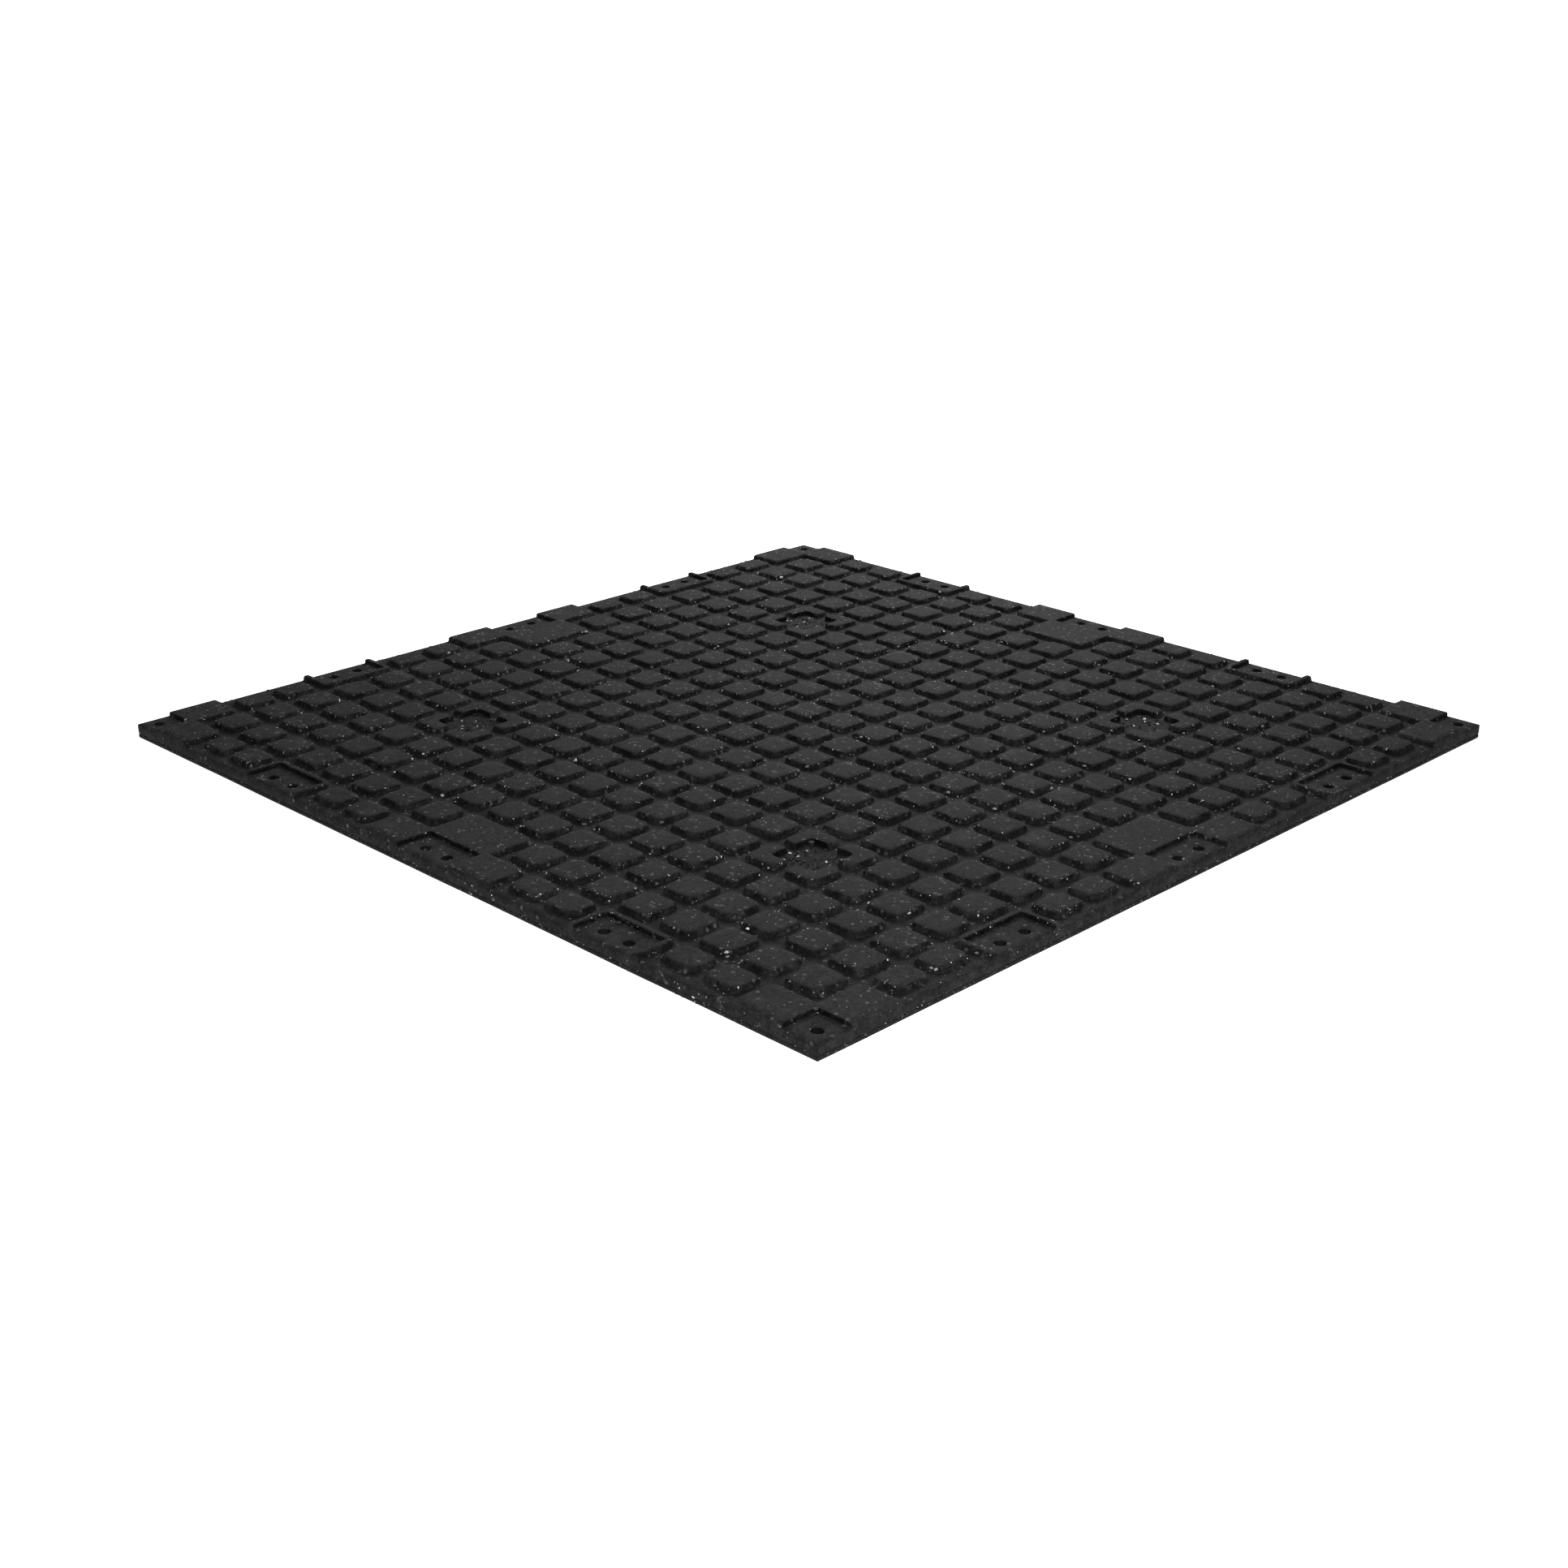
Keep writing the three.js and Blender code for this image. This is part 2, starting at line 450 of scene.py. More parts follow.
# %% From the plan to the tile
def stud_offsets(u, v):
    """The column and row of the stud that a place belongs to, and the offsets from its middle."""
    column = np.clip(u // PITCH, 0, STUDS - 1).astype(int)
    row = np.clip(v // PITCH, 0, STUDS - 1).astype(int)
    return column, row, u - (column + 0.5) * PITCH, v - (row + 0.5) * PITCH


STUD_DRIFT = 0.45
STUD_FOOT = 1.5
STUD_ROUND = (2.0, 5.8)
free_stud = round_stud.all(axis=(2, 3))
stud_shift = random.normal(0, STUD_DRIFT, (2, STUDS, STUDS)).clip(-1, 1) * free_stud


def bend_studs(u, v):
    """The moves that round the studs' corners, found from the stud that each point belongs to.

    Each free stud is also moved by up to a millimetre. The move is whole out to STUD_FOOT past
    its walls, and nothing at the middle of its channels.
    """
    column, row, off_u, off_v = stud_offsets(u, v)
    past_wall = np.maximum(np.abs(off_u), np.abs(off_v)) - STUD / 2 - STUD_FOOT
    held = np.clip(1 - past_wall / (GAP / 2 - STUD_FOOT), 0, 1)
    shift_u, shift_v = stud_shift[:, column, row] * held
    side_u, side_v = (off_u > 0).astype(int), (off_v > 0).astype(int)
    a = np.abs(off_u) - stud_half[column, side_u] + STUD_CORNER
    b = np.abs(off_v) - stud_half[row, side_v] + STUD_CORNER
    hold, fade = (STUD_CORNER + past for past in STUD_ROUND)
    move_a, move_b = round_corner(a, b, hold, fade)
    chosen = round_stud[column, row, side_u, side_v]
    return chosen * move_a * np.sign(off_u) + shift_u, chosen * move_b * np.sign(off_v) + shift_v


SOFT_CORNER = np.array([[-2.0, 0.0], [-0.9, 0.16], [0.5, 0.5], [1.6, 0.8], [4.5, 1.0]])


def corner_height(u, v, height):
    """Heights again, with the studs' free corners worn soft, since granules don't fill a corner.

    How much of the soft profile applies is the smaller offset past the corner's centre as a
    share of the larger: 0 where the corner's arc begins, and 1 on its diagonal.
    """
    column, row, off_u, off_v = stud_offsets(u, v)
    side_u, side_v = (off_u > 0).astype(int), (off_v > 0).astype(int)
    past_u = np.abs(off_u) - stud_half[column, side_u]
    past_v = np.abs(off_v) - stud_half[row, side_v]
    a, b = past_u + STUD_CORNER, past_v + STUD_CORNER
    ring = np.maximum(a, b)
    inside = (a > 0) & (b > 0) & round_stud[column, row, side_u, side_v]
    weight = np.where(inside, np.minimum(a, b) / np.where(inside, ring, 1), 0)
    soft = np.interp(-np.maximum(past_u, past_v), SOFT_CORNER[:, 0], SOFT_CORNER[:, 1])
    return height + weight * (CHANNEL + (TOP - CHANNEL) * soft - height)


def bend_pits(u, v):
    """The moves that round the recesses, the pockets' inner corners and the pin holes."""
    move_u, move_v = np.zeros_like(u), np.zeros_like(v)
    for middle in recess_middles:
        du, dv = round_box(u, v, around(middle, RECESS), RECESS_CORNER, 0.9, 4)
        move_u, move_v = move_u + du, move_v + dv
    for turns in range(4):
        side_u, side_v = turned(u, v, turns)
        side_moves = [round_box(side_u, side_v, box, POCKET_CORNER, 0.9, 3) for box in side_pockets]
        side_moves += [
            round_box(side_u, side_v, around(hole, HOLE), HOLE, 0.5, 3) for hole in side_holes
        ]
        du = sum(move[0] for move in side_moves)
        dv = sum(move[1] for move in side_moves)
        for _ in range(turns):
            du, dv = -dv, du
        move_u, move_v = move_u + du, move_v + dv
    return move_u, move_v


WAVES = np.array([[0.9, 1.7, 0.4], [2.3, 0.8, 2.1], [3.9, 3.1, 5.0], [7.3, 5.9, 1.3]])
WAVE_SIZE = 0.10


def waver(u, v):
    """Waves of a few tenths of a millimetre, since pressed rubber is never quite straight."""
    reach = 2 * np.pi / SIDE
    move_u = sum(np.sin(reach * (p * v + 0.3 * q * u) + s) for p, q, s in WAVES)
    move_v = sum(np.sin(reach * (p * u + 0.3 * q * v) + 2 * s) for p, q, s in WAVES)
    return WAVE_SIZE * move_u, WAVE_SIZE * move_v


SHRINK = 1 - 2 * (WAVE_SIZE * len(WAVES) + PROUD) / SIDE


def place(u, v, z):
    """Plan place and height in millimetres to a point on the tile in metres.

    The waves move a point by up to WAVE_SIZE times their number, and granules stand PROUD, so
    the plan shrinks by that much first, and the tile never grows past its size.
    """
    wave_u, wave_v = waver(u, v)
    x = (u - SIDE / 2) * SHRINK + wave_u
    y = (v - SIDE / 2) * SHRINK + wave_v
    return np.stack(np.broadcast_arrays(x, y, z), axis=-1) * MM


def underside_points(u, v):
    """Points of the rubber surface for plan places u and v."""
    stud_u, stud_v = bend_studs(u, v)
    pit_u, pit_v = bend_pits(u, v)
    height = corner_height(u, v, surface_height(u, v))
    return place(u + stud_u + pit_u, v + stud_v + pit_v, height)


# %% [markdown]
# ## Building the base as one closed skin
#
# The pockets and holes need many more lines than the plain studs do. So the border is four
# strips with their own lines, each a quarter turn from the last, and the middle is one square
# grid. Between them runs a ring of triangles that joins a finely divided line to a coarser one.
# A skirt closes the sides, and a fan of long triangles closes the hidden face on the seam.


# %% Grids and their faces
def grid_faces(rows, columns, start):
    """Corner numbers of the squares between rows * columns points, numbered from start."""
    number = start + np.arange(rows * columns).reshape(rows, columns)
    corners = [number[:-1, :-1], number[:-1, 1:], number[1:, 1:], number[1:, :-1]]
    return np.stack(corners, -1).reshape(-1, 4)


def zip_faces(fine, fine_at, coarse, coarse_at):
    """Triangles between two rows of points that run side by side.

    Each step of the fine row joins the coarse point nearest to the step's middle, and each step
    of the coarse row joins the fine point where that choice changes.
    """
    middles = (fine_at[:-1] + fine_at[1:]) / 2
    halfway = (coarse_at[:-1] + coarse_at[1:]) / 2
    nearest = np.searchsorted(halfway, middles)
    change = np.searchsorted(middles, halfway, side="right")
    first = np.stack([fine[:-1], fine[1:], coarse[nearest]], -1)
    second = np.stack([coarse[1:], coarse[:-1], fine[change]], -1)
    return np.concatenate([first, second])


# %% The strips, the middle and the ring between them
strip_u, strip_v = strip_lines(), border_lines()
field = field_lines()
strip_count = len(strip_u) * len(strip_v)

points, quads, triangles = [], [], []
for turns in range(4):
    v, u = np.meshgrid(strip_v, strip_u, indexing="ij")
    for _ in range(turns):
        u, v = SIDE - v, u
    points.append(underside_points(u, v).reshape(-1, 3))
    quads.append(grid_faces(len(strip_v), len(strip_u), turns * strip_count))

v, u = np.meshgrid(field, field, indexing="ij")
field_start = 4 * strip_count
points.append(underside_points(u, v).reshape(-1, 3))
quads.append(grid_faces(len(field), len(field), field_start))
print("strips and middle:", sum(len(q) for q in quads), "squares")

# %% The ring between border and middle
field_numbers = field_start + np.arange(len(field) ** 2).reshape(len(field), len(field))
field_sides = [
    field_numbers[0], field_numbers[:, -1], field_numbers[-1, ::-1], field_numbers[::-1, 0]
]
inner_row = np.arange(len(strip_u)) + (len(strip_v) - 1) * len(strip_u)
corner_step = len(strip_v) - 1
for turns, coarse in enumerate(field_sides):
    fine = turns * strip_count + inner_row[corner_step:]
    coarse_at = field if turns in (0, 1) else SIDE - field[::-1]
    triangles.append(zip_faces(fine, strip_u[corner_step:], coarse, coarse_at))
print("ring:", sum(len(t) for t in triangles), "triangles")

# %% The skirt and the hidden face
SEAM_GROOVE = 0.5
SEAM_STEP = 0.8


def tile_edge():
    """Corner numbers round the tile's edge: each strip's outer row, then the next strip's end."""
    rows = []
    for turns in range(4):
        following = (turns + 1) % 4 * strip_count
        rows.append(turns * strip_count + np.arange(len(strip_u)))
        rows.append(following + np.arange(len(strip_v) - 2, 0, -1) * len(strip_u))
    return np.concatenate(rows)


def level_ring(ring, height, inset):
    """A copy of a ring of points at one height, drawn in towards the middle by inset."""
    moved = ring.copy()
    moved[:, :2] *= 1 - 2 * inset / SIDE
    moved[:, 2] = height * MM
    return moved


def band_faces(upper, lower):
    """Squares between two closed rings that run the same way, facing outwards."""
    return np.stack([lower, np.roll(lower, -1), np.roll(upper, -1), upper], -1)


surface = np.concatenate(points)
top_ring = tile_edge()
ring_size = len(top_ring)
step_ring = len(surface) + np.arange(ring_size)
seam_ring = step_ring + ring_size
middle_point = seam_ring[-1] + 1
skin = np.concatenate([
    surface,
    level_ring(surface[top_ring], SEAM + SEAM_STEP, 0),
    level_ring(surface[top_ring], SEAM, SEAM_GROOVE),
    [[0, 0, SEAM * MM]],
])
quads += [band_faces(top_ring, step_ring), band_faces(step_ring, seam_ring)]
fan = np.stack([np.full(ring_size, middle_point), np.roll(seam_ring, -1), seam_ring], -1)
triangles.append(fan)
print("skin:", len(skin), "points")

# %% [markdown]
# ## Pressed rubber
#
# The material is shredded rubber, so its surface is a heap of grains, each about two millimetres
# across. A Voronoi pattern divides space into such cells. Its distance output gives each grain
# a domed top with a crease round it, and its colour output gives each grain a tone of its own.
# Everything is set in Object coordinates, so the grain runs through the rubber and doesn't
# stretch over the walls.


# %% Small helpers for materials
def new_material(name):
    """A new node material, with its node tree and its shader."""
    material = bpy.data.materials.new(name)
    material.use_nodes = True
    tree = material.node_tree
    return material, tree, tree.nodes["Principled BSDF"]


def add_node(tree, kind, values=None, **settings):
    """A node of that kind, with its settings and its unlinked input values."""
    node = tree.nodes.new(kind)
    for key, value in settings.items():
        setattr(node, key, value)
    for key, value in (values or {}).items():
        node.inputs[key].default_value = value
    return node


def grey(level):
    """A neutral colour."""
    return (level, level, level, 1)


def remap(tree, source, low, high, to_low, to_high):
    """A Map Range node from one span of numbers to another, held at its ends."""
    values = {"From Min": low, "From Max": high, "To Min": to_low, "To Max": to_high}
    node = add_node(tree, "ShaderNodeMapRange", values)
    tree.links.new(source, node.inputs["Value"])
    return node.outputs["Result"]


def combine(tree, operation, first, second):
    """A Math node. Each input is a socket or a number."""
    node = add_node(tree, "ShaderNodeMath", operation=operation)
    for index, value in enumerate((first, second)):
        if isinstance(value, (int, float)):
            node.inputs[index].default_value = value
        else:
            tree.links.new(value, node.inputs[index])
    return node.outputs[0]


def blend_colors(tree, share, first, second, mode="MIX"):
    """A colour Mix node. Colours are sockets or values, and share is a socket or a number."""
    node = add_node(tree, "ShaderNodeMix", data_type="RGBA", blend_type=mode)
    for index, value in ((0, share), (6, first), (7, second)):
        if isinstance(value, (int, float, tuple)):
            node.inputs[index].default_value = value
        else:
            tree.links.new(value, node.inputs[index])
    return node.outputs[2]


def blend_numbers(tree, share, first, second):
    """A Mix node for numbers. Each input is a socket or a number."""
    node = add_node(tree, "ShaderNodeMix", data_type="FLOAT")
    for index, value in ((0, share), (2, first), (3, second)):
        if isinstance(value, (int, float)):
            node.inputs[index].default_value = value
        else:
            tree.links.new(value, node.inputs[index])
    return node.outputs[0]


def pattern(tree, kind, scale):
    """A texture in Object coordinates, with that many repeats in a metre."""
    node = add_node(tree, kind, {"Scale": scale})
    where = add_node(tree, "ShaderNodeTexCoord")
    tree.links.new(where.outputs["Object"], node.inputs["Vector"])
    return node


def split(tree, kind, source):
    """The three numbers of a colour or vector. A cell's colour gives three random numbers."""
    node = add_node(tree, kind)
    tree.links.new(source, node.inputs[0])
    return node.outputs[0], node.outputs[1], node.outputs[2]


# %% Tones of the rubber
# Painted shade: flat places down at channel level, the floors of channels, recesses and holes, are
# painted darker. Out on the land, along the tile's edge, where the floor lies open, that painted
# shade is mostly lifted. Channel walls carry a painted shade too, and walls are torn in places, so
# their tone varies between two shares. Pit walls and holes carry a deeper painted shade.
CHANNEL_WALL_SHADE = 0.85
TORN_SHARES = (0.6, 2.2)
CHANNEL_FLOOR_SHADE = 0.58
LAND_TONE = 0.95
PIT_SHADE = 0.4
OUTER_SIDE_TONE = 0.85
OUTER_FROM = SIDE / 2 - 1.5
DUST_GREY = 0.06


def grain_tone(tree, grains):
    """Each grain's own tone, darkened in the creases between grains as a painted shade, and varied
    in slow patches.
    """
    own = split(tree, "ShaderNodeSeparateColor", grains.outputs["Color"])[0]
    tone = remap(tree, own, 0, 1, 0.55, 1.5)
    crease_shade = remap(tree, grains.outputs["Distance"], 0.35, 0.75, 1, 0.55)
    patches = pattern(tree, "ShaderNodeTexNoise", 14)
    patch = remap(tree, patches.outputs["Fac"], 0.3, 0.7, 0.85, 1.2)
    return combine(tree, "MULTIPLY", combine(tree, "MULTIPLY", tone, crease_shade), patch)


def flat_places(tree, reach, z):
    """The tone of level rubber: painted shade darkens it on channel floors, tops stay whole, and
    the open land nearly so.
    """
    lowest, low = (CHANNEL + 0.3) * MM, (POCKET_FLOOR - 0.2) * MM
    sunk_shade = remap(tree, z, lowest, low, CHANNEL_FLOOR_SHADE, 1)
    inner, rim = (SIDE / 2 - LAND - 1) * MM, (SIDE / 2 - LAND / 2) * MM
    land_tone = remap(tree, reach, inner, rim, CHANNEL_FLOOR_SHADE, LAND_TONE)
    return combine(tree, "MAXIMUM", sunk_shade, land_tone)


def tones_by_place(tree, smears):
    """How dark the rubber is at each place, and how much dust may lie there.

    The normal's height tells flat places from walls. The larger of |x| and |y| tells how near
    the tile's sides a place is, and an attribute marks the walls of pits.
    """
    facing = add_node(tree, "ShaderNodeNewGeometry").outputs["Normal"]
    upright = split(tree, "ShaderNodeSeparateXYZ", facing)[2]
    flat = remap(tree, combine(tree, "ABSOLUTE", upright, 0), 0.4, 0.95, 0, 1)

    where = add_node(tree, "ShaderNodeTexCoord").outputs["Object"]
    x, y, z = split(tree, "ShaderNodeSeparateXYZ", where)
    away = [combine(tree, "ABSOLUTE", value, 0) for value in (x, y)]
    reach = combine(tree, "MAXIMUM", *away)
    outer = combine(tree, "GREATER_THAN", reach, OUTER_FROM * MM)

    # Channel walls are darkened by CHANNEL_WALL_SHADE, a painted shade, then varied between the
    # torn shares.
    least, most = (share * CHANNEL_WALL_SHADE for share in TORN_SHARES)
    torn = remap(tree, smears.outputs["Fac"], 0.40, 0.62, least, most)
    wall_tone = blend_numbers(tree, outer, torn, OUTER_SIDE_TONE)
    flat_shade = flat_places(tree, reach, z)
    # Pit walls and the insides of pin holes are darkened further by PIT_SHADE: a painted shade.
    pit = add_node(tree, "ShaderNodeAttribute", attribute_name="pit")
    pit_shade = remap(tree, pit.outputs["Fac"], 0, 1, 1, PIT_SHADE)
    tone = combine(tree, "MULTIPLY", blend_numbers(tree, flat, wall_tone, flat_shade), pit_shade)

    smear = remap(tree, smears.outputs["Fac"], 0.45, 0.75, 0, 1)
    rubbed = combine(tree, "MULTIPLY", combine(tree, "MAXIMUM", flat, outer), smear)
    return tone, rubbed, flat_shade


# %% Granules of another grey
DULL_SHARE = 0.08
DULL_GREYS = (0.025, 0.09)
SPECK_GREYS = (0.06, 0.32)


def add_granules(tree, colour, cells, share, greys, edge):
    """Paints that share of a Voronoi pattern's cells in greys of their own.

    edge is the span of distances from a cell's middle over which its paint fades out.
    """
    _, draw, level = split(tree, "ShaderNodeSeparateColor", cells.outputs["Color"])
    chosen = combine(tree, "GREATER_THAN", draw, 1 - share)
    if edge[0] == edge[1]:
        near_middle = combine(tree, "LESS_THAN", cells.outputs["Distance"], edge[0])
    else:
        near_middle = remap(tree, cells.outputs["Distance"], *edge, 1, 0)
    own_grey = remap(tree, level, 0, 1, *greys)
    return blend_colors(tree, combine(tree, "MULTIPLY", chosen, near_middle), colour, own_grey)


# %% The rubber
def pressed_rubber(name, base, grain, speck_share, dust):
    """Shredded rubber: toned grains with creases, grey granules and specks, and a little dust.

    base is its usual colour, grain the width of a grain in millimetres, speck_share the share of
    small grains that are grey, and dust the most that dust covers of a flat place.
    """
    material, tree, shader = new_material(name)
    grains = pattern(tree, "ShaderNodeTexVoronoi", 1 / (grain * MM))
    specks = pattern(tree, "ShaderNodeTexVoronoi", 1 / (0.55 * grain * MM))
    granules = pattern(tree, "ShaderNodeTexVoronoi", 1 / (1.8 * grain * MM))
    smears = pattern(tree, "ShaderNodeTexNoise", 70)

    tone, rubbed, flat_shade = tones_by_place(tree, smears)
    shade = combine(tree, "MULTIPLY", grain_tone(tree, grains), tone)
    toned = blend_colors(tree, 1.0, (*base, 1), shade, "MULTIPLY")
    # Dust on channel floors is dimmed by the same painted shade.
    dusty = combine(tree, "MULTIPLY", combine(tree, "MULTIPLY", rubbed, dust), flat_shade)
    colour = blend_colors(tree, dusty, toned, grey(DUST_GREY))
    colour = add_granules(tree, colour, granules, DULL_SHARE, DULL_GREYS, (0.25, 0.6))
    colour = add_granules(tree, colour, specks, speck_share, SPECK_GREYS, (0.42, 0.42))
    tree.links.new(colour, shader.inputs["Base Color"])

    rough = remap(tree, smears.outputs["Fac"], 0.3, 0.7, 0.78, 0.95)
    tree.links.new(rough, shader.inputs["Roughness"])
    shader.inputs["Specular IOR Level"].default_value = 0.10

    fine = pattern(tree, "ShaderNodeTexNoise", 900)
    dome = remap(tree, grains.outputs["Distance"], 0, 0.75, 1, 0)
    relief = combine(tree, "ADD", dome, combine(tree, "MULTIPLY", fine.outputs["Fac"], 0.5))
    bump = add_node(tree, "ShaderNodeBump", {"Strength": 0.6, "Distance": 0.35 * MM})
    tree.links.new(relief, bump.inputs["Height"])
    tree.links.new(bump.outputs["Normal"], shader.inputs["Normal"])
    return material


BLACK = (0.0125, 0.0125, 0.0128)
base_rubber = pressed_rubber("base_rubber", BLACK, grain=2.4, speck_share=0.008, dust=0.30)
walking_rubber = pressed_rubber("walking_rubber", BLACK, grain=1.5, speck_share=0.02, dust=0.15)
print("two rubbers")


# %% Making a piece from points and faces
def add_piece(name, skin_points, face_groups, material, smooth=True):
    """A mesh object from arrays of points and faces, shaded smooth or flat."""
    mesh = bpy.data.meshes.new(name)
    faces = [face for group in face_groups for face in group.tolist()]
    mesh.from_pydata(skin_points.tolist(), [], faces)
    piece = bpy.data.objects.new(name, mesh)
    bpy.context.scene.collection.objects.link(piece)
    mesh.materials.append(material)
    mesh.polygons.foreach_set("use_smooth", np.full(len(mesh.polygons), smooth))
    mesh.update()
    return piece


def merge_doubles(piece, distance=0.002 * MM):
    """Joins points on the same spot, where two grids meet, and counts the edges left open."""
    welded = bmesh.new()
    welded.from_mesh(piece.data)
    bmesh.ops.remove_doubles(welded, verts=welded.verts, dist=distance)
    open_edges = sum(not edge.is_manifold for edge in welded.edges)
    welded.to_mesh(piece.data)
    welded.free()
    return open_edges


def mark_pits(piece, steepest=0.2, lowest=CHANNEL - 1.5):
    """Finds the walls of pockets and recesses and the insides of pin holes, and marks those faces.

    The walls are the faces whose normal is nearly level (its z below steepest) and whose middle
    is above the tile's plain sides (lowest, in millimetres). They are shaded flat, so that they
    meet the floors in a clean crease. The holes are whatever else lies deep inside the plan. The
    rubber's material reads the mark and darkens those faces: a painted shade.
    """
    faces = piece.data.polygons
    facing, middles = np.empty((2, len(faces) * 3))
    faces.foreach_get("normal", facing)
    faces.foreach_get("center", middles)
    x, y, z = middles.reshape(-1, 3).T / MM
    walls = (facing[2::3] < steepest) & (z > lowest)
    reach = np.maximum(np.abs(x), np.abs(y))
    holes = (z > SEAM + 0.5) & (z < CHANNEL - 0.5) & (reach < SIDE / 2 - 3)
    faces.foreach_set("use_smooth", ~walls)
    mark = piece.data.attributes.new("pit", "FLOAT", "FACE")
    mark.data.foreach_set("value", (walls | holes).astype(np.float32))
    return (walls | holes).sum()


underside = add_piece("studded_underside", skin, quads + triangles, base_rubber)
open_edges = merge_doubles(underside)
print(mark_pits(underside), "pit faces")
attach(underside, "root")
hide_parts("studded_base")
underside.data.calc_loop_triangles()
print("underside:", len(underside.data.loop_triangles), "triangles,", open_edges, "open edges")

# %% [markdown]
# ## The walking layer
#
# The thin layer under the base is a plain square slab. Its outline is one profile, carried
# round a square path: flat face, round lower edge, upright side, and a step into the seam.
# It follows the same gentle waves as the base, so the two sides stay level.

# %% The slab
LAYER_LIFT = 0.15
path_steps = np.sort(np.concatenate([np.linspace(0.02, 0.98, 49), [0.001, 0.999]])) * SIDE
profile = np.array([
    [120.0, LAYER_LIFT],
    [20.0, LAYER_LIFT],
    [1.6, LAYER_LIFT],
    [0.5, LAYER_LIFT + 0.35],
    [0.0, LAYER_LIFT + 1.4],
    [0.0, SEAM - SEAM_STEP],
    [SEAM_GROOVE, SEAM],
    [60.0, SEAM],
])


def square_path(steps):
    """Points round a unit square from 0 to 1, one side after another, with no corner twice."""
    ends = np.concatenate([steps, [1.0]])
    zero, one = np.zeros_like(ends), np.ones_like(ends)
    sides = [(ends, zero), (one, ends), (1 - ends, one), (zero, 1 - ends)]
    return np.concatenate([np.stack(side, -1) for side in sides])


path = square_path(path_steps / SIDE)
rings = []
for inset, height in profile:
    u = inset + path[:, 0] * (SIDE - 2 * inset)
    v = inset + path[:, 1] * (SIDE - 2 * inset)
    rings.append(place(u, v, height))
count = len(path)
numbers = np.arange(len(profile) * count).reshape(len(profile), count)
bands = [band_faces(numbers[k + 1], numbers[k]) for k in range(len(profile) - 1)]
lower, upper = len(profile) * count, len(profile) * count + 1
slab_points = np.concatenate([*rings, place(SIDE / 2, SIDE / 2, [LAYER_LIFT, SEAM]).reshape(-1, 3)])
caps = [
    np.stack([np.full(count, lower), np.roll(numbers[0], -1), numbers[0]], -1),
    np.stack([np.full(count, upper), numbers[-1], np.roll(numbers[-1], -1)], -1),
]
slab = add_piece("walking_slab", slab_points, bands + caps, walking_rubber)
open_edges = merge_doubles(slab)
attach(slab, "root")
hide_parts("walking_layer")
print("slab:", len(slab.data.polygons), "faces,", open_edges, "open edges")

# %% [markdown]
# ## Pale flecks
#
# A few grains in every thousand are white, grey or yellowish. They catch the eye more than
# anything else on the tile, so each is a real chip: a small icosahedron, squashed, turned and
# roughened, and sunk most of the way into the rubber. All chips are made at once from one
# array, and each keeps its own colour in an attribute that the material reads.

# %% Chips
GOLDEN = (1 + 5 ** 0.5) / 2
ICO_POINTS = np.array([(0, a, b * GOLDEN) for a in (-1, 1) for b in (-1, 1)])
ICO_POINTS = np.concatenate([np.roll(ICO_POINTS, shift, axis=1) for shift in range(3)])
ICO_POINTS = ICO_POINTS / np.linalg.norm(ICO_POINTS[0])
CORNERS = len(ICO_POINTS)
CHIP_ROUGHNESS = (0.75, 1.2)


def ico_faces():
    """The 20 triangles of the icosahedron: every three points that are all neighbours."""
    gaps = np.linalg.norm(ICO_POINTS[:, None] - ICO_POINTS[None], axis=-1)
    near = (gaps > 0) & (gaps < 1.1)
    found = [
        (a, b, c)
        for a in range(CORNERS) for b in range(a + 1, CORNERS) for c in range(b + 1, CORNERS)
        if near[a, b] and near[b, c] and near[a, c]
    ]
    faces = np.array(found)
    corners = ICO_POINTS[faces]
    normals = np.cross(corners[:, 1] - corners[:, 0], corners[:, 2] - corners[:, 0])
    inward = (normals * corners.mean(1)).sum(-1) < 0
    faces[inward] = faces[inward][:, ::-1]
    return faces


def chips(centres, normals, sizes, flatness):
    """Rough chips at those centres, each squashed along its surface's normal.

    A chip is the icosahedron with every point moved at random, stretched a little one way along
    the surface, and turned about the normal.
    """
    total = len(centres)
    shape = ICO_POINTS[None] * random.uniform(*CHIP_ROUGHNESS, (total, CORNERS, 1))
    stretch = random.uniform(0.7, 1.35, total)
    side = np.cross(normals, random.normal(size=(total, 3)))
    side /= np.linalg.norm(side, axis=1, keepdims=True)
    across = np.cross(normals, side)
    axes = np.stack([side * stretch[:, None], across / stretch[:, None], normals * flatness], 1)
    return centres[:, None] + np.einsum("nkc,ncd->nkd", shape, axes) * (sizes / 2)[:, None, None]


print("chip faces:", len(ico_faces()))


# %% Where the chips lie
TOP_CHIPS = 3400
SIDE_CHIPS = 420
FACE_CHIPS = 3200
CHIP_FLATNESS = 0.55
CLUSTERS = 280
CLUSTER_SPREAD = 7.0
SHARE_IN_CLUSTERS = 0.55


def scattered(total):
    """Random places in the plan: some anywhere, and the rest in loose clusters."""
    anywhere = random.uniform(0, SIDE, (total, 2))
    middles = random.uniform(0, SIDE, (CLUSTERS, 2))
    near_one = middles[random.integers(0, CLUSTERS, total)]
    near_one = near_one + random.normal(0, CLUSTER_SPREAD, (total, 2))
    chosen = random.random(total) < SHARE_IN_CLUSTERS
    spots = np.where(chosen[:, None], near_one, anywhere)
    return spots.clip(3, SIDE - 3).T


def top_centres(total):
    """Random places over the underside, on whatever surface is there."""
    u, v = scattered(total)
    return underside_points(u, v), np.tile([0.0, 0.0, 1.0], (total, 1))


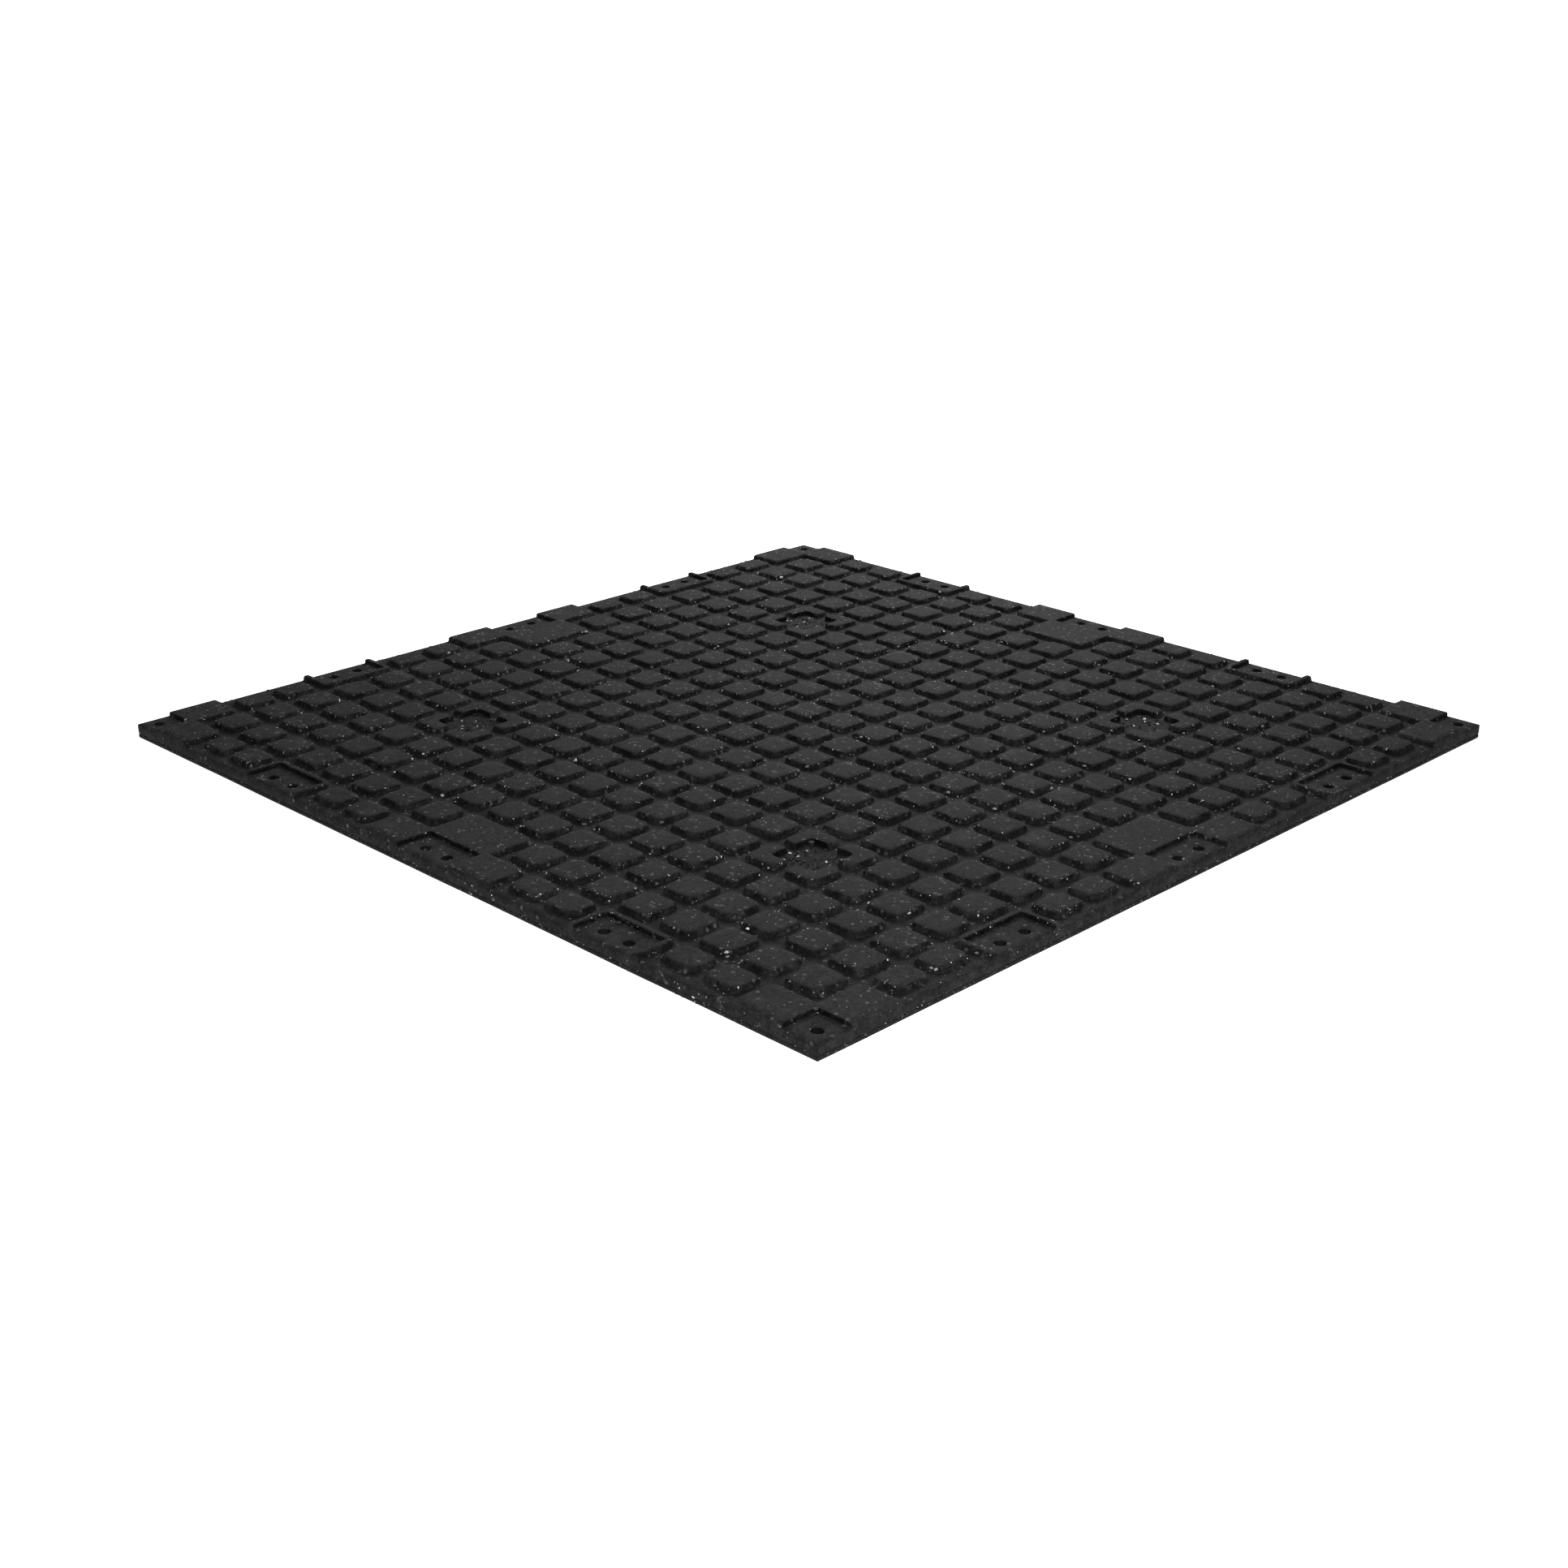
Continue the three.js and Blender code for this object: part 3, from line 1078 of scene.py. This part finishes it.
def side_centres(total, lowest, highest):
    """Random places on the four upright sides, between two heights in millimetres."""
    turns = random.integers(0, 4, total)
    along = random.uniform(5, SIDE - 5, total)
    depth = np.full(total, 0.15)
    spots = place(along, depth, random.uniform(lowest, highest, total))
    normals = np.tile([0.0, -1.0, 0.0], (total, 1))
    for turn in range(1, 4):
        later = turns >= turn
        for rows in (spots, normals):
            rows[later, :2] = np.stack([-rows[later, 1], rows[later, 0]], -1)
    return spots, normals


def face_centres(total):
    """Random places on the walking face."""
    u, v = scattered(total)
    return place(u, v, LAYER_LIFT), np.tile([0.0, 0.0, -1.0], (total, 1))


def chip_colors(total, least):
    """Mostly greys, fewer whites, and a yellowish one now and then. None is darker than least."""
    level = random.beta(1.0, 2.0, total) * (0.80 - least) + least
    tint = np.ones((total, 3))
    tint[random.random(total) < 0.03] = (1.0, 0.86, 0.5)
    return level[:, None] * tint


def chip_material():
    """The chips' own colour, a little mottled, on matte rubber."""
    material, tree, shader = new_material("pale_granules")
    own = add_node(tree, "ShaderNodeAttribute", attribute_name="chip_color")
    mottle = pattern(tree, "ShaderNodeTexNoise", 1500)
    level = remap(tree, mottle.outputs["Fac"], 0.3, 0.7, 0.75, 1.1)
    colour = blend_colors(tree, 1.0, own.outputs["Color"], level, "MULTIPLY")
    tree.links.new(colour, shader.inputs["Base Color"])
    shader.inputs["Roughness"].default_value = 0.8
    shader.inputs["Specular IOR Level"].default_value = 0.3
    bump = add_node(tree, "ShaderNodeBump", {"Strength": 0.3, "Distance": 0.1 * MM})
    tree.links.new(mottle.outputs["Fac"], bump.inputs["Height"])
    tree.links.new(bump.outputs["Normal"], shader.inputs["Normal"])
    return material


# The mould presses granules flat against its walls, so none passes them.
MOULD_LOW = np.array([-SIDE / 2 + 0.1, -SIDE / 2 + 0.1, 0.03]) * MM
MOULD_HIGH = np.array([SIDE / 2 - 0.1, SIDE / 2 - 0.1, CAD_TOP - 0.05]) * MM


def add_chips(name, spots, normals, sizes, flatness, proud, material, least=0.06):
    """One piece of many chips, each sunk so that it stands proud by only that much."""
    flat_half = flatness * CHIP_ROUGHNESS[1] * sizes / 2
    centres = spots - normals * (flat_half - proud)[:, None]
    bodies = chips(centres, normals, sizes, flatness).clip(MOULD_LOW, MOULD_HIGH)
    faces = ico_faces()[None] + CORNERS * np.arange(len(spots))[:, None, None]
    piece = add_piece(name, bodies.reshape(-1, 3), [faces.reshape(-1, 3)], material, smooth=False)
    if material is pale:
        colors = np.ones((len(spots), CORNERS, 4))
        colors[..., :3] = chip_colors(len(spots), least)[:, None]
        layer = piece.data.attributes.new("chip_color", "FLOAT_COLOR", "POINT")
        layer.data.foreach_set("color", colors.ravel())
    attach(piece, "root")
    print(name, len(spots), "chips")
    return piece


# %% Adding the chips
pale = chip_material()


def chip_sizes(total):
    """Chip widths in metres: mostly two or three millimetres, with a few large ones."""
    return random.gamma(3.8, 0.76, total).clip(1.1, 5.8) * MM


CHIP_PROUD = (PROUD - 0.04) * MM
spots, normals = top_centres(TOP_CHIPS)
sizes = chip_sizes(TOP_CHIPS)
add_chips("flecks_underside", spots, normals, sizes, CHIP_FLATNESS, CHIP_PROUD, pale)
spots, normals = side_centres(SIDE_CHIPS, 1.5, CHANNEL - 1.5)
sizes = chip_sizes(SIDE_CHIPS)
add_chips("flecks_sides", spots, normals, sizes, CHIP_FLATNESS, 0.2 * MM, pale)
spots, normals = face_centres(FACE_CHIPS)
sizes = chip_sizes(FACE_CHIPS)
add_chips(
    "flecks_walking_face", spots, normals, sizes, CHIP_FLATNESS, 0.08 * MM, pale
)

# %% [markdown]
# ## Black granules on the edges
#
# A moulded edge of this rubber is never a clean line: it ends in whole granules, some proud and
# some torn away. Thousands of black chips along the shoulders of the walls, with a pale one here
# and there, give that broken line a real outline, which a bump in the material can't.

# %% Granules along the shoulders
EDGE_TRIES = 700_000
EDGE_GRANULES = 9_000
EDGE_FLECKS = 1_200
PROBE = 0.05
LOWEST_SHOULDER = POCKET_FLOOR + 0.2


def shoulder_centres(total):
    """Places on the upper part of a wall, with the way that the surface faces there.

    Random places are kept where the height lies above a pocket's floor and below a top. The
    slope along each axis is the change in height over a small step, and the normal is (-slope, 1).
    """
    u, v = random.uniform(2, SIDE - 2, (2, EDGE_TRIES))
    height = surface_height(u, v)
    kept = np.flatnonzero((height > LOWEST_SHOULDER) & (height < TOP - 0.12))[:total]
    u, v = u[kept], v[kept]
    slope_u = (surface_height(u + PROBE, v) - surface_height(u - PROBE, v)) / (2 * PROBE)
    slope_v = (surface_height(u, v + PROBE) - surface_height(u, v - PROBE)) / (2 * PROBE)
    facing = np.stack([-slope_u, -slope_v, np.ones_like(u)], -1)
    facing /= np.linalg.norm(facing, axis=1, keepdims=True)
    return underside_points(u, v), facing


def granule_sizes(total):
    """Widths in metres, a little larger than the rubber's own grain."""
    return random.uniform(1.8, 5.0, total) * MM


spots, normals = shoulder_centres(2 * EDGE_GRANULES)
print("shoulder places:", len(spots))
order = np.argsort(spots[:, 0] + spots[:, 1])
for name, rows in zip(("edge_granules_near", "edge_granules_far"), np.array_split(order, 2)):
    sizes = granule_sizes(len(rows))
    proud = random.uniform(0.0, 0.9, len(rows)) * MM
    add_chips(name, spots[rows], normals[rows], sizes, 0.65, proud, base_rubber)
spots, normals = shoulder_centres(EDGE_FLECKS)
sizes = random.uniform(1.2, 3.6, EDGE_FLECKS) * MM
add_chips("flecks_edges", spots, normals, sizes, 0.65, 0.5 * MM, pale)

# %% [markdown]
# ## Rough floors of the recesses
#
# The floors of the four square recesses aren't pressed as smooth as the rest: loose granules
# stand up there, black ones and a few pale ones, so each floor gets a small heap of its own.

# %% Granules in the recesses
RECESS_BLACK = 110
RECESS_PALE = 6


def recess_centres(total):
    """Random places on the floors of the recesses, the same number on each."""
    spread = random.uniform(-RECESS + 3, RECESS - 3, (len(recess_middles), total, 2))
    u, v = (spread + np.array(recess_middles)[:, None]).reshape(-1, 2).T
    spots = place(u, v, CHANNEL)
    tilt = random.normal(0, 0.35, spots.shape) + (0, 0, 1)
    return spots, tilt / np.linalg.norm(tilt, axis=1, keepdims=True)


spots, normals = recess_centres(RECESS_BLACK)
sizes = random.uniform(2.5, 6.0, len(spots)) * MM
proud = random.uniform(0.3, 1.6, len(spots)) * MM
add_chips("recess_granules", spots, normals, sizes, 0.8, proud, base_rubber)
spots, normals = recess_centres(RECESS_PALE)
sizes = random.uniform(2.4, 4.8, len(spots)) * MM
add_chips("recess_flecks", spots, normals, sizes, 0.8, 1.5 * MM, pale, least=0.28)

# %% Granules on the sides
SIDE_GRANULES = 3_000
spots, normals = side_centres(SIDE_GRANULES, 1.2, CHANNEL - 0.6)
sizes = granule_sizes(SIDE_GRANULES)
add_chips("side_granules", spots, normals, sizes, 0.6, 0.25 * MM, base_rubber)
